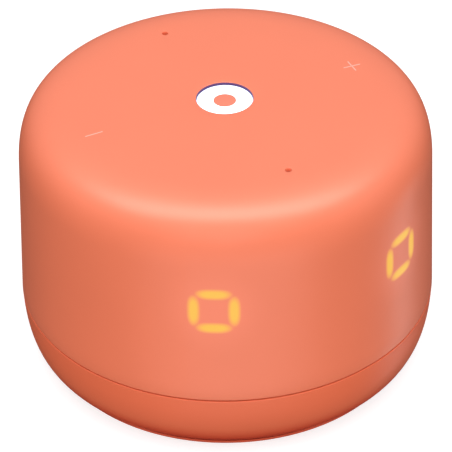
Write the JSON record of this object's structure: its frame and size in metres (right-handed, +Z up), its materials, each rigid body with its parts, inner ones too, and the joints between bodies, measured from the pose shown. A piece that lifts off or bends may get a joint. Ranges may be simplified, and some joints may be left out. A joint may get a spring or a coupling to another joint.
{
  "type": "portable speaker",
  "caption": "Squat round portable speaker: coral shell over a bowl base, crowned touch top with a lit round window, light signs behind the wall, rear slots, socket and mute button.",
  "frame": {"origin": "centre of the foot's underside, on the surface that the speaker stands on", "axes": "+Z up through the middle of the housing; -Y to the front, between the two light signs; +X across to the side of the plus mark; +Y to the rear, where the socket, the mute button and the sound slots are"},
  "size_m": [0.108, 0.108, 0.0748],
  "materials": {
    "coral_shell": "soft satin, coral",
    "coral_button": "satin, coral",
    "seam_rubber": "matt, dark coral",
    "foot_silicone": "matt, coral",
    "window_opal": "opal, lit from below",
    "window_dot": "satin",
    "mark_print": "pale print",
    "opal_diffuser": "milky",
    "white_plastic": "matt",
    "black_plastic": "fine grain",
    "grey_plastic": "fine grain",
    "speaker_cloth": "knitted mesh",
    "steel_screw": "zinc plated",
    "basket_steel": "black powder coat",
    "plate_steel": "zinc plated",
    "ferrite": "sintered, dark grey",
    "cone_paper": "pressed paper",
    "surround_rubber": "matt",
    "spider_cloth": "varnished cloth",
    "former_film": "amber film",
    "copper_winding": "enamelled copper",
    "soft_seal": "closed-cell foam rubber",
    "grey_foam": "open-cell foam",
    "cell_foil": "laminated foil",
    "circuit_board": "green solder mask",
    "chip_black": "moulded epoxy",
    "mic_can": "plated",
    "heat_aluminium": "milled",
    "led_white": "lit lamp",
    "copper_film": "copper on amber film",
    "spring_brass": "gold plated",
    "lead_insulation": "silicone insulation",
    "ribbon_film": "amber film",
    "socket_steel": "plated steel",
    "socket_black": "moulded",
    "plunger_white": "moulded"
  },
  "bodies": {
    "housing": {"upper_shell": "coral_shell", "lower_shell": "coral_shell", "seam_seal": "seam_rubber", "foot_pad": "foot_silicone", "sound_cloth": "speaker_cloth", "housing_screws": "steel_screw", "touch_marks": "mark_print", "baffle": "black_plastic", "deflector": "black_plastic", "driver_gasket": "soft_seal", "driver_basket": "basket_steel", "surround": "surround_rubber", "spider": "spider_cloth", "front_plate": "plate_steel", "magnet": "ferrite", "magnet_yoke": "plate_steel", "driver_screws": "steel_screw", "speaker_lead": "lead_insulation", "lead_grommet": "soft_seal", "chamber_seal": "soft_seal", "speaker_chamber": "black_plastic", "baffle_screws": "steel_screw", "damping_foam": "grey_foam", "battery_tray": "grey_plastic", "battery_cell": "cell_foil", "battery_board": "circuit_board", "battery_lead": "lead_insulation", "main_board": "circuit_board", "board_screws": "steel_screw", "board_chips": "chip_black", "shield_can": "mic_can", "heat_plate": "heat_aluminium", "antenna": "copper_film", "touch_window": "window_opal", "window_dot": "window_dot", "window_light_cup": "white_plastic", "leds": "led_white", "touch_board": "circuit_board", "touch_board_screws": "steel_screw", "touch_film": "copper_film", "touch_contacts": "spring_brass", "microphones": "mic_can", "mic_gaskets": "soft_seal", "sign_boxes": "white_plastic", "sign_diffusers": "opal_diffuser", "sign_boards": "circuit_board", "sign_screws": "steel_screw", "ribbon_cables": "ribbon_film", "rear_bracket": "black_plastic", "rear_board": "circuit_board", "charge_socket": "socket_steel", "socket_tongue": "socket_black", "mute_switch": "socket_black"},
    "moving_coil": {"cone": "cone_paper", "dust_cap": "cone_paper", "voice_coil_former": "former_film", "voice_coil_winding": "copper_winding"},
    "mute_key": {"mute_button": "coral_button", "switch_plunger": "plunger_white"}
  },
  "joints": [
    {"name": "cone_travel", "type": "slide", "parent": "housing", "child": "moving_coil", "axis": [0, 0, -1], "range_m": [-0.002, 0.002], "stiffness_N_per_m": 900, "deforming": ["surround", "spider"]},
    {"name": "mute_press", "type": "slide", "parent": "housing", "child": "mute_key", "axis": [0, -1, 0], "range_m": [0, 0.0006], "stiffness_N_per_m": 2500}
  ]
}
